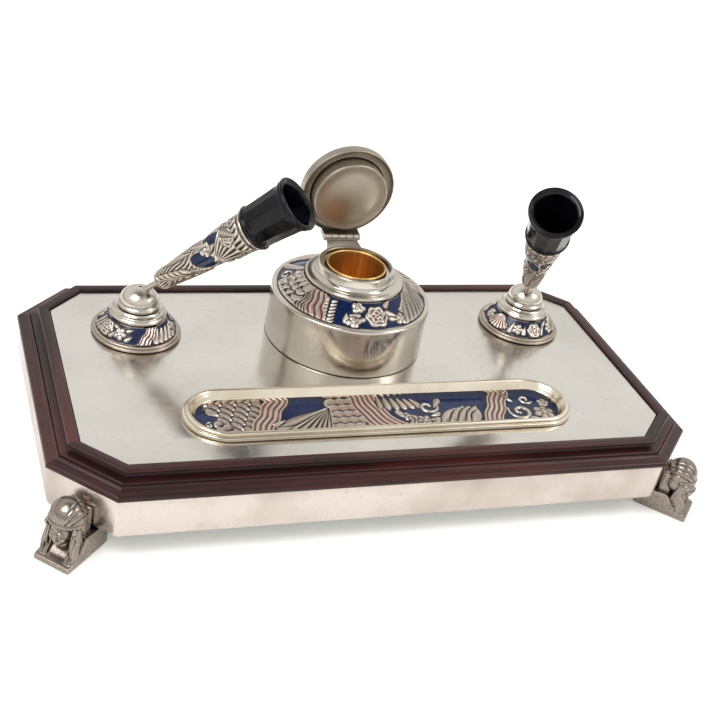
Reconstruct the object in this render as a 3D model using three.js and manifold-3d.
// Desk set: a moulded octagonal base on four feet that carries a lidded inkwell,
// a pen tray and two tilting, swivelling pen holders. Millimetres, +Z up.
// The origin is on the surface the feet stand on, under the middle of the base.
import * as THREE from 'three';
import { mergeVertices } from 'three/addons/utils/BufferGeometryUtils.js';
import Module from 'manifold-3d';

const wasm = await Module();
wasm.setup();

// ---- Driving dimensions ----
const GAP = 0.3;                 // free space between pieces that touch
const FINE = 32;                 // facets round a large turned piece
const COARSE = 20;               // facets round a small turned piece

const PLATE_HALF_WIDTH = 136;
const PLATE_HALF_DEPTH = 67.2;
const PLATE_CORNER = 16.4;       // leg of the 45 degree corner cut
const PLATE_TOP = 38;
const PLATE_THICKNESS = 1.2;
const LIP_RISE = 1.2;            // the wood stands this far above the plate
const WOOD_BOTTOM = 30.2;
const APRON_BOTTOM = 10.6;
const APRON_OFFSET = 12.8;
const APRON_WALL = 1.6;
const APRON_RETURN = 7;          // flange turned in along the apron's lower edge
const BOARD_THICKNESS = 3.6;
const FELT_THICKNESS = 1;

const FOOT_WIDTH = 17;
const FOOT_REACH = 18;           // out from the apron's corner face
const FOOT_TUCK = 8;             // in under the apron
const HEAD_HEIGHT = 28.8;
const HEAD_RADIUS = 7.6;
const HEAD_OUT = 9.2;
const SCREW_RADIUS = 1.5;
const BACK_FOOT = [-24, -5];     // plain back foot, in under the apron
const FOOT_LIP = 2.4;            // upright edge at the toe of a foot
const BASE_SHIFT = 2.8;          // feet stand out in front only, so the base sits back of centre

const INKWELL_Y = 25.3;
const INKWELL_RADIUS = 38;
const INKWELL_RIM = 23.8;        // height of the side wall above the plate
const SHOULDER_INNER = 23.2;
const SHOULDER_OUTER = 35.4;
const NECK_FOOT_HEIGHT = 32.4;
const COLLAR_RADIUS = 17.9;
const COLLAR_TOP = 38.2;
const LINER_RADIUS = 13.2;       // inside of the gilt ink pot
const LINER_TOP = 39.9;
const LINER_FLOOR = 8;

const HINGE_BACK = 24.1;         // hinge axis behind the well's own axis
const HINGE_HEIGHT = 41;         // above the plate
const LID_REACH = 22.2;          // hinge axis to the lid's middle
const LID_RISE = 4.7;            // shut, the lid's rim is this far above the hinge axis
const LID_RADIUS = 23.3;
const LID_SKIRT = 4.3;
const LID_WALL = 1.2;
const LID_DISC_RADIUS = 18;
const LID_DISC_FACE = -0.2;      // shut, the disc's face against the hinge axis
const LID_OPEN = 97;             // lid's angle from the +Y side of level, at rest
const KNUCKLE_RADIUS = 1.7;
const KNUCKLE_WIDTH = 3.5;
const KNUCKLE_PITCH = 3.75;
const BARREL_LENGTH = 4 * KNUCKLE_PITCH + KNUCKLE_WIDTH;
const PIN_RADIUS = 0.65;

const TRAY_Y = -38.6;
const TRAY_HALF_LENGTH = 92.2;
const TRAY_HALF_WIDTH = 18;
const TRAY_RIM_WIDTH = 5.2;
const TRAY_RIM_HEIGHT = 4;
const TRAY_FLOOR_TOP = -0.5;     // the pan is sunk through the plate
const TRAY_FLOOR_THICKNESS = 1.5;

const HOLDER_X = 99.3;
const HOLDER_Y = 32.2;
const FLANGE_RADIUS = 20.6;
const SEAT_RADIUS = 12.4;
const DOME_RADIUS = 9.6;
const DOME_TOP = 23.6;
const PIVOT_HEIGHT = 20.5;       // ball centre above the plate
const BALL_RADIUS = 2.7;
const STEM_RADIUS = 1.5;
const SLEEVE_START = 11.4;         // distances along the pen axis from the ball
const SLEEVE_END = 63;
const FUNNEL_START = 65.1;
const MOUTH = 90;
const SLEEVE_SMALL = 4.4;
const SLEEVE_LARGE = 9.3;
const MOUTH_RADIUS = 12.3;
const HOLDERS = [
  { side: 'left', x: -HOLDER_X, azimuth: -29, elevation: 43.6 },
  { side: 'right', x: HOLDER_X, azimuth: -119.7, elevation: 50.5 },
];
const LOWEST_ELEVATION = 33;

const STUD_RADIUS = 2;
const NUT_RADIUS = 4;
const NUT_HEIGHT = 2.4;

const rad = THREE.MathUtils.degToRad;
const desk = new THREE.Group();

// ---- Materials ----
const finish = (color, roughness, metalness) => () =>
  new THREE.MeshStandardMaterial({ color, roughness, metalness });
const silver = finish(0xd6d0c4, 0.3, 1);
const oldSilver = finish(0x8f8678, 0.45, 1);
const enamelled = finish(0x56627e, 0.35, 0.7);
const gilt = finish(0xc88a34, 0.25, 1);
const rosewood = finish(0x46292c, 0.4, 0);
const ebonite = finish(0x15151b, 0.18, 0);
const softwood = finish(0xb9925f, 0.7, 0);
const steel = finish(0x8d9096, 0.4, 1);
const brass = finish(0xb08d4a, 0.35, 1);
const felt = finish(0x1f4a34, 0.95, 0);

// ---- Geometry helpers ----
function closed(geometry) {
  const bare = geometry.index ? geometry.toNonIndexed() : geometry.clone();
  for (const name of ['normal', 'uv']) bare.deleteAttribute(name);
  const merged = mergeVertices(bare, 1e-4);
  const place = merged.attributes.position.array;
  const index = merged.index.array;
  const kept = [];
  let volume = 0;
  const corner = (i) => new THREE.Vector3().fromArray(place, 3 * i);
  for (let i = 0; i < index.length; i += 3) {
    const [a, b, c] = [index[i], index[i + 1], index[i + 2]];
    if (a === b || b === c || c === a) continue;
    kept.push(a, b, c);
    volume += corner(a).dot(corner(b).cross(corner(c)));
  }
  merged.setIndex(volume < 0 ? kept.reverse() : kept);
  return merged;
}

function toManifold(geometry) {
  const g = closed(geometry);
  const vertProperties = new Float32Array(g.attributes.position.array);
  const triVerts = new Uint32Array(g.index.array);
  return new wasm.Manifold(new wasm.Mesh({ numProp: 3, vertProperties, triVerts }));
}

function fromManifold(solid) {
  const m = solid.getMesh();
  const g = new THREE.BufferGeometry();
  g.setAttribute('position', new THREE.BufferAttribute(new Float32Array(m.vertProperties), 3));
  g.setIndex(new THREE.BufferAttribute(new Uint32Array(m.triVerts), 1));
  return g;
}

function join(...geometries) {
  return fromManifold(geometries.map(toManifold).reduce((a, b) => a.add(b)));
}

function cut(geometry, ...tools) {
  return fromManifold(tools.map(toManifold).reduce((a, b) => a.subtract(b), toManifold(geometry)));
}

// A turned piece about +Z from [radius, height] pairs.
function turned(profile, facets = COARSE) {
  const points = profile.map(([r, z]) => new THREE.Vector2(r, z));
  return new THREE.LatheGeometry(points, facets).rotateX(Math.PI / 2);
}

function rod(radius, low, high, facets = COARSE) {
  return turned([[0, low], [radius, low], [radius, high], [0, high]], facets);
}

// A rod along X, centred on x = 0.
function crossRod(radius, length, facets = 14) {
  return rod(radius, -length / 2, length / 2, facets).rotateY(Math.PI / 2);
}

function block(x, y, z, cx = 0, cy = 0, cz = 0) {
  return new THREE.BoxGeometry(x, y, z).translate(cx, cy, cz);
}

// Corners of the base outline, grown outwards by an offset.
function outline(offset) {
  const w = PLATE_HALF_WIDTH + offset;
  const d = PLATE_HALF_DEPTH + offset;
  const c = PLATE_CORNER + offset * (2 - Math.SQRT2);
  return [
    [w, c - d], [w, d - c], [w - c, d], [c - w, d],
    [-w, d - c], [-w, c - d], [c - w, -d], [w - c, -d],
  ];
}

// Octagonal stack of [offset, height] levels: capped, or closed on itself as a frame.
function octagon(levels, hollow = false) {
  const rings = levels.map(([offset, z]) => outline(offset).map(([x, y]) => [x, y, z]));
  const place = [];
  const face = (...corners) => corners.forEach((p) => place.push(...p));
  const last = hollow ? rings.length : rings.length - 1;
  for (let i = 0; i < last; i += 1) {
    const low = rings[i];
    const high = rings[(i + 1) % rings.length];
    for (let k = 0; k < 8; k += 1) {
      const n = (k + 1) % 8;
      face(low[k], low[n], high[n]);
      face(low[k], high[n], high[k]);
    }
  }
  for (let k = 1; k < 7 && !hollow; k += 1) {
    face(rings[0][0], rings[0][k + 1], rings[0][k]);
    face(rings[last][0], rings[last][k], rings[last][k + 1]);
  }
  const g = new THREE.BufferGeometry();
  g.setAttribute('position', new THREE.BufferAttribute(new Float32Array(place), 3));
  return g;
}

// A bar with round ends, lying along X.
function stadium(halfLength, halfWidth, low, high) {
  const shape = new THREE.Shape();
  const straight = halfLength - halfWidth;
  shape.absarc(straight, 0, halfWidth, -Math.PI / 2, Math.PI / 2);
  shape.absarc(-straight, 0, halfWidth, Math.PI / 2, 1.5 * Math.PI);
  const options = { depth: high - low, bevelEnabled: false, curveSegments: 9 };
  return new THREE.ExtrudeGeometry(shape, options).translate(0, 0, low);
}

function add(parent, name, geometry, material) {
  const mesh = new THREE.Mesh(closed(geometry), material());
  mesh.name = name;
  parent.add(mesh);
  return mesh;
}

function group(parent, x, y, z) {
  const g = new THREE.Group();
  g.position.set(x, y, z);
  parent.add(g);
  return g;
}

// ---- Base ----
const STUDS = [
  ['inkwell', 0, INKWELL_Y],
  ['left_holder', -HOLDER_X, HOLDER_Y],
  ['right_holder', HOLDER_X, HOLDER_Y],
  ['left_tray', -TRAY_HALF_LENGTH / 2, TRAY_Y],
  ['right_tray', TRAY_HALF_LENGTH / 2, TRAY_Y],
];

function studHoles(low, high) {
  return STUDS.map(([, x, y]) => rod(STUD_RADIUS + GAP, low, high, 10).translate(x, y, 0));
}

function base() {
  const plateBottom = PLATE_TOP - PLATE_THICKNESS;
  const lip = PLATE_TOP + LIP_RISE;
  const board = octagon([
    [13.6, WOOD_BOTTOM], [14, WOOD_BOTTOM + 0.6], [13.4, 32.2], [11.8, 33.1], [11.4, 34.3],
    [8.4, 34.6], [5, 34.9], [4.6, 36.2], [5.5, 37], [5.5, lip - 0.5], [4.9, lip],
  ]);
  const recess = octagon([[0.3, plateBottom - GAP], [0.3, lip + 1]]);
  const holes = studHoles(WOOD_BOTTOM - 1, lip);
  const panBottom = PLATE_TOP + TRAY_FLOOR_TOP - TRAY_FLOOR_THICKNESS;
  const panInset = TRAY_RIM_WIDTH;
  const pocket = (low) => stadium(TRAY_HALF_LENGTH - panInset, TRAY_HALF_WIDTH - panInset, low, lip + 1)
    .translate(0, TRAY_Y, 0);
  add(desk, 'wood_base', cut(board, recess, pocket(panBottom - GAP), ...holes), rosewood);

  const plate = octagon([[0, plateBottom], [0, PLATE_TOP]]);
  add(desk, 'top_plate', cut(plate, pocket(0), ...studHoles(0, lip)), silver);

  const top = WOOD_BOTTOM - GAP;
  const inside = APRON_OFFSET - APRON_WALL;
  const band = octagon([
    [APRON_OFFSET - 1.5, APRON_BOTTOM], [APRON_OFFSET, APRON_BOTTOM + 1.5], [APRON_OFFSET, top],
    [inside, top], [inside, APRON_BOTTOM + APRON_WALL],
    [APRON_OFFSET - APRON_RETURN, APRON_BOTTOM + APRON_WALL], [APRON_OFFSET - APRON_RETURN, APRON_BOTTOM],
  ], true);
  add(desk, 'apron', band, silver);

  const floor = APRON_BOTTOM + APRON_WALL + GAP;
  const boardEdge = inside - GAP;
  add(desk, 'bottom_board', octagon([[boardEdge, floor], [boardEdge, floor + BOARD_THICKNESS]]), softwood);
  const feltEdge = APRON_OFFSET - APRON_RETURN - GAP;
  const feltTop = floor - GAP;
  add(desk, 'felt_pad', octagon([[feltEdge, feltTop - FELT_THICKNESS], [feltEdge, feltTop]]), felt);
  cornerBlocks(floor + BOARD_THICKNESS + GAP, WOOD_BOTTOM - GAP);
}

// Glue blocks that join the moulded board to the bottom board.
function cornerBlocks(low, high) {
  const places = { front_left: [-1, -1], front_right: [1, -1], back_left: [-1, 1], back_right: [1, 1] };
  for (const [name, [sx, sy]] of Object.entries(places)) {
    const piece = block(26, 20, high - low, sx * 112, sy * 58, (low + high) / 2);
    add(desk, `corner_block_${name}`, piece, softwood);
  }
}

// Nut and washer face under the moulded board, on a stud that comes down from above.
function nut(name, x, y) {
  const top = WOOD_BOTTOM - GAP;
  const body = rod(NUT_RADIUS, top - NUT_HEIGHT, top, 6);
  const hole = rod(STUD_RADIUS + GAP, top - NUT_HEIGHT - 1, top + 1, 10);
  add(desk, name, cut(body, hole).translate(x, y, 0), brass);
}

// ---- Feet ----
// Local frame: x is outwards from the apron's corner face, y across, z up.
function footPlace(sx, sy) {
  const corner = (PLATE_HALF_WIDTH + PLATE_HALF_DEPTH - PLATE_CORNER) / Math.SQRT2 + APRON_OFFSET;
  const across = (PLATE_HALF_WIDTH - PLATE_HALF_DEPTH) / Math.SQRT2;
  const out = new THREE.Vector2(sx, sy).multiplyScalar(corner / Math.SQRT2);
  const along = new THREE.Vector2(sx, -sy).multiplyScalar(across / Math.SQRT2);
  const place = group(desk, out.x + along.x, out.y + along.y, 0);
  place.rotation.z = Math.atan2(sy, sx);
  return place;
}

function profileAcross(points) {
  const side = new THREE.Shape(points.map(([x, z]) => new THREE.Vector2(x, z)));
  return new THREE.ExtrudeGeometry(side, { depth: FOOT_WIDTH, bevelEnabled: false })
    .rotateX(Math.PI / 2).translate(0, FOOT_WIDTH / 2, 0);
}

// Screw up through the foot's sole, with a head sunk in a wider hole.
function screwed(place, name, shaped, x) {
  const roof = APRON_BOTTOM - GAP;
  const hole = rod(SCREW_RADIUS + GAP, -1, roof + 1, 12).translate(x, 0, 0);
  add(place, `foot_${name}`, cut(shaped, hole), oldSilver);
  add(place, `foot_screw_${name}`, rod(SCREW_RADIUS, 2, roof - 1, 12).translate(x, 0, 0), steel);
}

function bustFoot(name, sx, sy) {
  const roof = APRON_BOTTOM - GAP;
  const plinth = profileAcross([
    [-FOOT_TUCK, 0], [FOOT_REACH, 0], [FOOT_REACH, FOOT_LIP], [FOOT_REACH - 3, FOOT_LIP + 2],
    [GAP, roof], [-FOOT_TUCK, roof],
  ]);
  const cloth = new THREE.SphereGeometry(HEAD_RADIUS, 12, 8).rotateX(Math.PI / 2)
    .translate(HEAD_OUT, 0, HEAD_HEIGHT - HEAD_RADIUS);
  const mantle = block(8, 13.6, 15, GAP + 4.5, 0, 11.5);
  const face = new THREE.SphereGeometry(4.6, 10, 7).rotateX(Math.PI / 2)
    .scale(1, 0.95, 1.3).translate(HEAD_OUT + 3.6, 0, 16.6);
  const lappet = (y) => block(3.2, 3.4, 13, HEAD_OUT + 2.6, y, 9.5);
  const bust = join(plinth, cloth, mantle, face, lappet(-5), lappet(5));
  const behindApron = block(20, 40, 40, GAP - 10, 0, roof + 20);
  screwed(footPlace(sx, sy), name, cut(bust, behindApron), -FOOT_TUCK / 2);
}

// The back pair is plain and stays in under the base.
function plainFoot(name, sx, sy) {
  const [inner, outer] = BACK_FOOT;
  const roof = APRON_BOTTOM - GAP;
  const body = profileAcross([
    [inner, 0], [outer, 0], [outer, FOOT_LIP], [outer - 1.5, 4], [outer - 1.5, roof],
    [inner + 1.5, roof], [inner + 1.5, 4], [inner, FOOT_LIP],
  ]);
  screwed(footPlace(sx, sy), name, body, (inner + outer) / 2);
}

// ---- Inkwell ----
function inkwell() {
  const well = group(desk, 0, INKWELL_Y, PLATE_TOP);
  const wall = 1.6;
  const body = turned([
    [0, GAP], [INKWELL_RADIUS, GAP], [INKWELL_RADIUS + 0.1, 1.2], [INKWELL_RADIUS - 0.3, 12],
    [INKWELL_RADIUS, INKWELL_RIM - 1.2], [INKWELL_RADIUS - 0.9, INKWELL_RIM + 0.6],
    [SHOULDER_OUTER + GAP, INKWELL_RIM + 1.4], [SHOULDER_OUTER + GAP, INKWELL_RIM - 0.6],
    [INKWELL_RADIUS - wall - 2, INKWELL_RIM - 2], [INKWELL_RADIUS - wall, 6],
    [INKWELL_RADIUS - wall, 3], [0, 3],
  ], FINE);
  const drilled = cut(body, rod(STUD_RADIUS + GAP, -1, 4, 10));
  add(well, 'inkwell_body', drilled, silver);

  const shoulder = turned([
    [SHOULDER_OUTER, INKWELL_RIM - 0.4], [SHOULDER_OUTER, INKWELL_RIM + 1.5],
    [29.5, 28.6], [SHOULDER_INNER + GAP, NECK_FOOT_HEIGHT - 0.4],
    [SHOULDER_INNER + GAP, NECK_FOOT_HEIGHT - 2.4], [29.5, 26.6], [SHOULDER_OUTER, INKWELL_RIM - 0.4],
  ], FINE);
  add(well, 'inkwell_shoulder', shoulder, enamelled);

  const bore = LINER_RADIUS + 1.2 + GAP;
  const neck = turned([
    [bore, NECK_FOOT_HEIGHT - 3], [SHOULDER_INNER, NECK_FOOT_HEIGHT - 3],
    [SHOULDER_INNER, NECK_FOOT_HEIGHT], [SHOULDER_INNER - 1, NECK_FOOT_HEIGHT + 1.2],
    [19.6, NECK_FOOT_HEIGHT + 1.6], [COLLAR_RADIUS + 0.2, 34.8], [COLLAR_RADIUS, COLLAR_TOP - 0.6],
    [COLLAR_RADIUS - 0.6, COLLAR_TOP], [16.4, COLLAR_TOP], [15.6, COLLAR_TOP - 0.8],
    [bore, COLLAR_TOP - 0.8], [bore, NECK_FOOT_HEIGHT - 3],
  ], FINE);
  add(well, 'inkwell_neck', neck, silver);

  const outer = LINER_RADIUS + 1.2;
  const liner = turned([
    [0, LINER_FLOOR - 1.4], [outer - 1, LINER_FLOOR - 1.4], [outer, LINER_FLOOR], [outer, LINER_TOP - 0.4],
    [outer - 0.4, LINER_TOP], [LINER_RADIUS, LINER_TOP], [LINER_RADIUS, LINER_FLOOR + 1.5],
    [LINER_RADIUS - 1.5, LINER_FLOOR], [0, LINER_FLOOR],
  ], FINE);
  add(well, 'ink_pot_liner', liner, gilt);

  const low = WOOD_BOTTOM - PLATE_TOP - GAP - NUT_HEIGHT - 1;
  add(well, 'inkwell_stud', join(rod(STUD_RADIUS, low, 4, 10), rod(5, 3.3, 5.6, 20)), brass);
  nut('inkwell_nut', 0, INKWELL_Y);
  lidAndHinge(well);
}

function knuckle(index) {
  return crossRod(KNUCKLE_RADIUS, KNUCKLE_WIDTH).translate((index - 2) * KNUCKLE_PITCH, 0, 0);
}

function lidAndHinge(well) {
  const pinHole = crossRod(PIN_RADIUS + GAP, 40, 10);
  const hinge = group(well, 0, HINGE_BACK, HINGE_HEIGHT);
  const room = (i) => crossRod(KNUCKLE_RADIUS + GAP, KNUCKLE_WIDTH + 0.5)
    .translate((i - 2) * KNUCKLE_PITCH, 0, 0);

  // Leaf: an arm from the collar's back up to the outer and middle knuckles.
  const armWidth = 16;
  const reach = HINGE_BACK - COLLAR_RADIUS - GAP;
  const shape = new THREE.Shape();
  shape.moveTo(-reach, -5.5);
  shape.lineTo(-reach, -2.8);
  shape.lineTo(-1.2, -0.6);
  shape.lineTo(0.6, -1.4);
  shape.lineTo(-reach + 2.2, -5.5);
  const arm = new THREE.ExtrudeGeometry(shape, { depth: armWidth, bevelEnabled: false })
    .rotateX(Math.PI / 2).rotateZ(Math.PI / 2).translate(-armWidth / 2, 0, 0);
  const collar = rod(COLLAR_RADIUS + 0.2 + GAP, -12, 12, FINE).translate(0, -HINGE_BACK, 0);
  const armCut = cut(arm, room(1), room(3), collar);
  const leaf = cut(join(armCut, knuckle(0), knuckle(2), knuckle(4)), pinHole);
  add(hinge, 'hinge_leaf', leaf, silver);
  add(hinge, 'hinge_pin', crossRod(PIN_RADIUS, BARREL_LENGTH + 0.8, 10), steel);

  // Lid, modelled shut: the hinge axis is level with the disc's face, below the rim.
  const lid = group(hinge, 0, 0, 0);
  lid.rotation.x = rad(LID_OPEN - 180);
  const inner = LID_RADIUS - LID_WALL;
  const top = LID_RISE + LID_SKIRT;
  const seat = LID_DISC_RADIUS + GAP;
  const shell = turned([
    [LID_RADIUS - 0.4, LID_RISE], [LID_RADIUS, LID_RISE + 0.4], [LID_RADIUS, top],
    [LID_RADIUS - 1.2, top + 1],
    [15, top + 3.4], [0, top + 4.4], [0, top + 3.2], [15, top + 2.2],
    [seat, top + 1], [seat, LID_RISE + 1.2], [20.5, LID_RISE + 1.5], [inner, LID_RISE + 0.6],
    [inner + 0.4, LID_RISE], [LID_RADIUS - 0.4, LID_RISE],
  ], FINE).translate(0, -LID_REACH, 0);
  // Lug from the rim down to the barrel.
  const lugLow = 0.9;
  const lug = block(BARREL_LENGTH, 2.6, LID_RISE + 0.8 - lugLow, 0, -0.3, (LID_RISE + 0.8 + lugLow) / 2);
  const lugCut = cut(lug, room(0), room(2), room(4));
  const hinged = cut(join(shell, lugCut, knuckle(1), knuckle(3)), pinHole);
  add(lid, 'lid_shell', hinged, silver);
  const disc = turned([
    [0, LID_DISC_FACE], [LID_DISC_RADIUS - 0.6, LID_DISC_FACE], [LID_DISC_RADIUS, LID_DISC_FACE + 0.6],
    [LID_DISC_RADIUS, top + 0.6], [14.8, top + 1.7], [0, top + 2.7],
  ], FINE).translate(0, -LID_REACH, 0);
  add(lid, 'lid_inner_disc', disc, oldSilver);
}

// ---- Pen tray ----
function tray() {
  const pan = group(desk, 0, TRAY_Y, PLATE_TOP);
  const rim = cut(
    join(
      stadium(TRAY_HALF_LENGTH, TRAY_HALF_WIDTH, GAP, 2.2),
      stadium(TRAY_HALF_LENGTH - 1.2, TRAY_HALF_WIDTH - 1.2, 1, TRAY_RIM_HEIGHT),
    ),
    stadium(TRAY_HALF_LENGTH - TRAY_RIM_WIDTH, TRAY_HALF_WIDTH - TRAY_RIM_WIDTH, 0, 6),
  );
  add(pan, 'tray_rim', rim, silver);
  const inset = TRAY_RIM_WIDTH + GAP;
  const low = WOOD_BOTTOM - PLATE_TOP - GAP - NUT_HEIGHT - 1;
  const under = TRAY_FLOOR_TOP - TRAY_FLOOR_THICKNESS;
  const stud = (side) => rod(STUD_RADIUS, low, under + 0.5, 10).translate(side * TRAY_HALF_LENGTH / 2, 0, 0);
  const studs = [stud(-1), stud(1)];
  const floor = stadium(TRAY_HALF_LENGTH - inset, TRAY_HALF_WIDTH - inset, under, TRAY_FLOOR_TOP);
  add(pan, 'tray_floor', join(floor, ...studs), enamelled);
  nut('tray_nut_left', -TRAY_HALF_LENGTH / 2, TRAY_Y);
  nut('tray_nut_right', TRAY_HALF_LENGTH / 2, TRAY_Y);
}

// ---- Pen holders ----
function holder({ side, x, azimuth, elevation }) {
  const post = group(desk, x, HOLDER_Y, PLATE_TOP);
  const flange = turned([
    [0, GAP], [FLANGE_RADIUS, GAP], [FLANGE_RADIUS, 1.8], [FLANGE_RADIUS - 0.9, 2.8],
    [18.2, 3.4], [13.4, 9.4], [0, 9.4],
  ], FINE);
  add(post, `${side}_flange`, flange, enamelled);
  const seatTop = 13.8;
  const seat = turned([
    [0, 9.7], [SEAT_RADIUS + 0.4, 9.7], [SEAT_RADIUS, 12], [SEAT_RADIUS - 1, 13.2], [10.4, seatTop],
    [0, seatTop],
  ], FINE);
  add(post, `${side}_seat_ring`, seat, silver);
  const low = WOOD_BOTTOM - PLATE_TOP - GAP - NUT_HEIGHT - 1;
  add(post, `${side}_stud`, rod(STUD_RADIUS, low, 0, 10), brass);
  nut(`${side}_holder_nut`, x, HOLDER_Y);

  // Dome: a ball cup with a slot on the pen's side, from upright to the lowest tilt.
  const turn = group(post, 0, 0, 0);
  turn.rotation.z = rad(azimuth);
  const crown = [20, 40, 60, 80].map((a) => [
    (DOME_RADIUS - 0.7) * Math.cos(rad(a)), 15.6 + (DOME_TOP - 15.6) * Math.sin(rad(a))]);
  const dome = turned([
    [0, seatTop + GAP], [DOME_RADIUS - 0.4, seatTop + GAP], [DOME_RADIUS, 14.9], [DOME_RADIUS, 15.5],
    [DOME_RADIUS - 0.7, 16.1], ...crown, [0, DOME_TOP],
  ], FINE);
  const cup = new THREE.SphereGeometry(BALL_RADIUS + GAP, 14, 8).rotateX(Math.PI / 2)
    .translate(0, 0, PIVOT_HEIGHT);
  const slotHalf = STEM_RADIUS + GAP;
  const slotShape = new THREE.Shape();
  const slotReach = 14;
  const lowest = rad(LOWEST_ELEVATION - 4);
  slotShape.moveTo(-slotHalf, -slotHalf);
  slotShape.lineTo(slotHalf * Math.sin(lowest), -slotHalf * Math.cos(lowest));
  slotShape.lineTo(slotReach * Math.cos(lowest) + slotHalf * Math.sin(lowest),
    slotReach * Math.sin(lowest) - slotHalf * Math.cos(lowest));
  slotShape.lineTo(slotReach * Math.cos(lowest), slotReach);
  slotShape.lineTo(-slotHalf - 0.6, slotReach);
  const slot = new THREE.ExtrudeGeometry(slotShape, { depth: 2 * slotHalf, bevelEnabled: false })
    .rotateX(Math.PI / 2).translate(0, slotHalf, PIVOT_HEIGHT);
  add(turn, `${side}_dome`, cut(dome, cup, slot), silver);

  // Everything on the pen axis is turned about +Z from the ball, then tilted down.
  const arm = group(turn, 0, 0, PIVOT_HEIGHT);
  arm.rotation.y = rad(90 - elevation);
  const ball = new THREE.SphereGeometry(BALL_RADIUS, 14, 8).rotateX(Math.PI / 2);
  const stem = turned([
    [0, 0], [STEM_RADIUS, 0], [STEM_RADIUS, SLEEVE_START], [STEM_RADIUS + 0.7, SLEEVE_START + 3],
    [STEM_RADIUS + 0.7, SLEEVE_START + 9], [0, SLEEVE_START + 9],
  ], 10);
  add(arm, `${side}_ball_stem`, join(ball, stem), silver);

  const slope = (SLEEVE_LARGE - SLEEVE_SMALL) / (SLEEVE_END - SLEEVE_START);
  const taper = (s) => SLEEVE_SMALL + slope * (s - SLEEVE_START);
  const wall = 1;
  const socket = SLEEVE_START + 11;
  const stemHole = STEM_RADIUS + 0.7 + GAP;
  const sleeve = turned([
    [stemHole, SLEEVE_START], [SLEEVE_SMALL - 0.6, SLEEVE_START], [taper(SLEEVE_START + 1), SLEEVE_START + 1],
    [SLEEVE_LARGE, SLEEVE_END], [SLEEVE_LARGE - wall, SLEEVE_END], [taper(socket) - wall, socket],
    [stemHole, socket - 1.4], [stemHole, SLEEVE_START],
  ]);
  add(arm, `${side}_sleeve`, sleeve, enamelled);
  const ring = turned([
    [SLEEVE_LARGE - wall, SLEEVE_END + GAP], [SLEEVE_LARGE + 0.3, SLEEVE_END + GAP],
    [SLEEVE_LARGE + 0.5, SLEEVE_END + 1.1], [SLEEVE_LARGE + 0.3, FUNNEL_START - GAP],
    [SLEEVE_LARGE - wall, FUNNEL_START - GAP], [SLEEVE_LARGE - wall, SLEEVE_END + GAP],
  ]);
  add(arm, `${side}_sleeve_ring`, ring, silver);

  const nose = socket + 2.6;
  const slim = taper(nose) - wall - GAP;
  const throat = SLEEVE_LARGE - wall - GAP - 0.2;
  const funnel = turned([
    [0, nose], [slim - 0.6, nose], [slim, nose + 1], [throat, FUNNEL_START - 1],
    [throat, FUNNEL_START], [10.2, FUNNEL_START], [10.5, FUNNEL_START + 1], [10.2, FUNNEL_START + 2.2],
    [11.3, MOUTH - 3.4], [12, MOUTH - 2.6], [MOUTH_RADIUS, MOUTH - 1], [MOUTH_RADIUS - 0.7, MOUTH],
    [10.6, MOUTH - 0.2], [10, MOUTH - 3], [7, FUNNEL_START - 2], [3.6, nose + 6], [0, nose + 4],
  ]);
  add(arm, `${side}_funnel`, funnel, ebonite);
}

base();
bustFoot('front_left', -1, -1);
bustFoot('front_right', 1, -1);
plainFoot('back_left', -1, 1);
plainFoot('back_right', 1, 1);
inkwell();
tray();
HOLDERS.forEach(holder);
for (const piece of desk.children) {
  piece.position.y += BASE_SHIFT;
}

export default desk;
